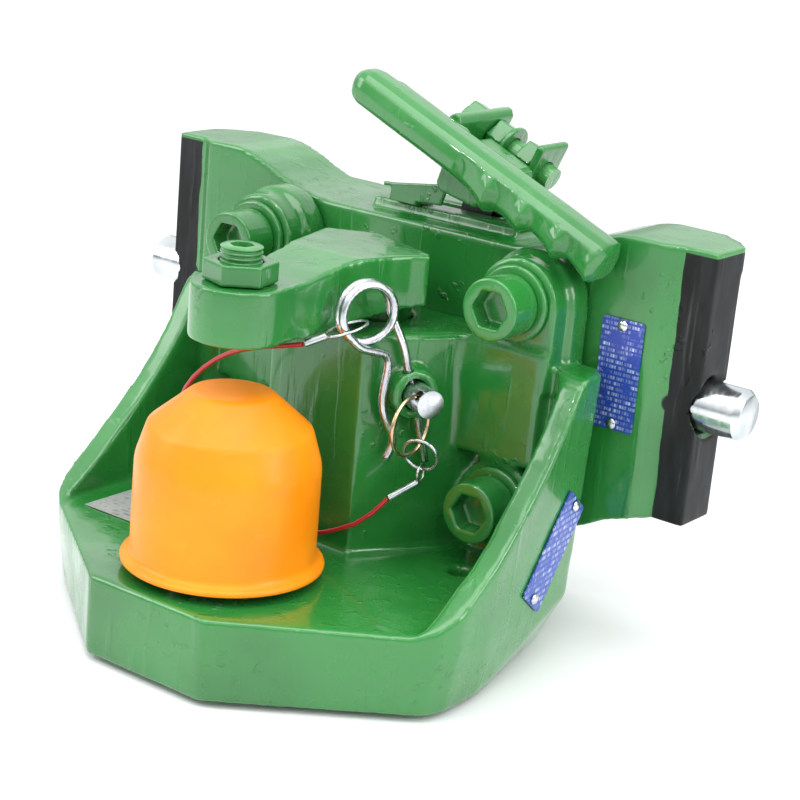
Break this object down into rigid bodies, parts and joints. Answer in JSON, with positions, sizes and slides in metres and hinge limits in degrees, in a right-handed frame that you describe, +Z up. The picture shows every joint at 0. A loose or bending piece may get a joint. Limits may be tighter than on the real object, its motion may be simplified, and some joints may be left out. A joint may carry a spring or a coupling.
{
  "type": "ball hitch on height-adjustable slide carriage",
  "caption": "Coupling-ball bracket on a slide carriage, with a swivelling hold-down over the capped ball and a lever that draws both lateral locking pins.",
  "frame": {"origin": "centre of the overall box, on the underside that it stands on", "axes": "+X across the carriage towards its right guide, +Y from the ball towards the tractor, +Z up"},
  "size_m": [0.37, 0.2534, 0.2632],
  "materials": {
    "green_paint": "gloss",
    "zinc_plate": "bright zinc plating",
    "yellow_zinc": "yellow passivated zinc",
    "machined_steel": "machined",
    "dark_steel": "oiled black",
    "orange_plastic": "satin moulded",
    "red_sheath": "gloss",
    "blue_plate": "anodised",
    "silver_label": "satin"
  },
  "bodies": {
    "carriage": {"carriage_body": "green_paint", "rear_cover": "green_paint", "slot_guard": "green_paint", "ball_bracket": "green_paint", "bracket_screw_1": "green_paint", "bracket_screw_2": "green_paint", "bracket_screw_3": "green_paint", "bracket_screw_4": "green_paint", "bracket_washer_1": "green_paint", "bracket_washer_2": "green_paint", "bracket_washer_3": "green_paint", "bracket_washer_4": "green_paint", "cover_screw_1": "zinc_plate", "cover_screw_2": "zinc_plate", "cover_screw_3": "zinc_plate", "cover_screw_4": "zinc_plate", "guard_screw": "zinc_plate", "securing_pin": "zinc_plate", "spring_clip": "zinc_plate", "upper_eye": "zinc_plate", "lower_eye": "zinc_plate", "carriage_plate_rivet_1": "zinc_plate", "carriage_plate_rivet_2": "zinc_plate", "bracket_plate_rivet_1": "zinc_plate", "bracket_plate_rivet_2": "zinc_plate", "rocker_shaft": "machined_steel", "spring_seat_left": "machined_steel", "spring_seat_right": "machined_steel", "return_spring_left": "machined_steel", "return_spring_right": "machined_steel", "coupling_ball": "machined_steel", "ball_nut": "dark_steel", "tether_cable": "red_sheath", "carriage_plate": "blue_plate", "bracket_plate": "blue_plate", "floor_label": "silver_label"},
    "handle": {"release_lever": "dark_steel", "drive_pin_left": "machined_steel", "drive_pin_right": "machined_steel", "release_handle": "green_paint", "grip_pin": "machined_steel", "link_stud": "green_paint", "stud_nut_1": "green_paint", "stud_nut_2": "green_paint", "stud_nut_3": "green_paint", "stud_washer": "green_paint", "link_plate": "green_paint"},
    "lock_right": {"locking_pin_right": "zinc_plate", "pull_bar_right": "dark_steel"},
    "lock_left": {"locking_pin_left": "zinc_plate", "pull_bar_left": "dark_steel"},
    "hold_down": {"hold_down_arm": "green_paint", "post_washer": "zinc_plate", "post_screw": "zinc_plate"},
    "adjuster": {"adjusting_screw": "green_paint"},
    "jam_nut": {"lock_nut": "green_paint"},
    "cap": {"ball_cap": "orange_plastic"},
    "ring": {"pull_ring": "yellow_zinc"},
    "small_ring": {"link_ring": "zinc_plate"}
  },
  "joints": [
    {"name": "handle_turn", "type": "hinge", "parent": "carriage", "child": "handle", "pos_m": [0, 0.07585, 0.132], "axis": [0, -1, 0], "range_deg": [0, 30.5], "stiffness_Nm_per_rad": 1.5, "springref_deg": -22.92},
    {"name": "lock_right_slide", "type": "slide", "parent": "carriage", "child": "lock_right", "axis": [-1, 0, 0], "range_m": [0, 0.0211], "deforming": ["return_spring_right"]},
    {"name": "lock_left_slide", "type": "slide", "parent": "carriage", "child": "lock_left", "axis": [1, 0, 0], "range_m": [0, 0.0211], "deforming": ["return_spring_left"]},
    {"name": "hold_down_swing", "type": "hinge", "parent": "carriage", "child": "hold_down", "pos_m": [0, 0.02735, 0.1495], "axis": [0, 0, -1], "range_deg": [0, 50]},
    {"name": "adjuster_travel", "type": "slide", "parent": "hold_down", "child": "adjuster", "axis": [0, 0, -1], "range_m": [0, 0.008]},
    {"name": "jam_nut_turn", "type": "hinge", "parent": "hold_down", "child": "jam_nut", "pos_m": [0, -0.07465, 0.183], "axis": [0, 0, 1], "range_deg": [-30, 30]},
    {"name": "cap_lift", "type": "slide", "parent": "carriage", "child": "cap", "axis": [0, 0, 1], "range_m": [0, 0.016]},
    {"name": "ring_turn", "type": "hinge", "parent": "carriage", "child": "ring", "pos_m": [0.057, -0.01305, 0.1122], "axis": [1, 0, 0], "continuous": true},
    {"name": "small_ring_turn", "type": "hinge", "parent": "carriage", "child": "small_ring", "pos_m": [0.05644, -0.00169, 0.09536], "axis": [0.2342, -0.9049, -0.3554], "continuous": true}
  ],
  "couplings": [
    {"joint": "lock_right_slide", "follows": "handle_turn", "m_per_rad": 0.03953},
    {"joint": "lock_left_slide", "follows": "handle_turn", "m_per_rad": 0.03953}
  ]
}
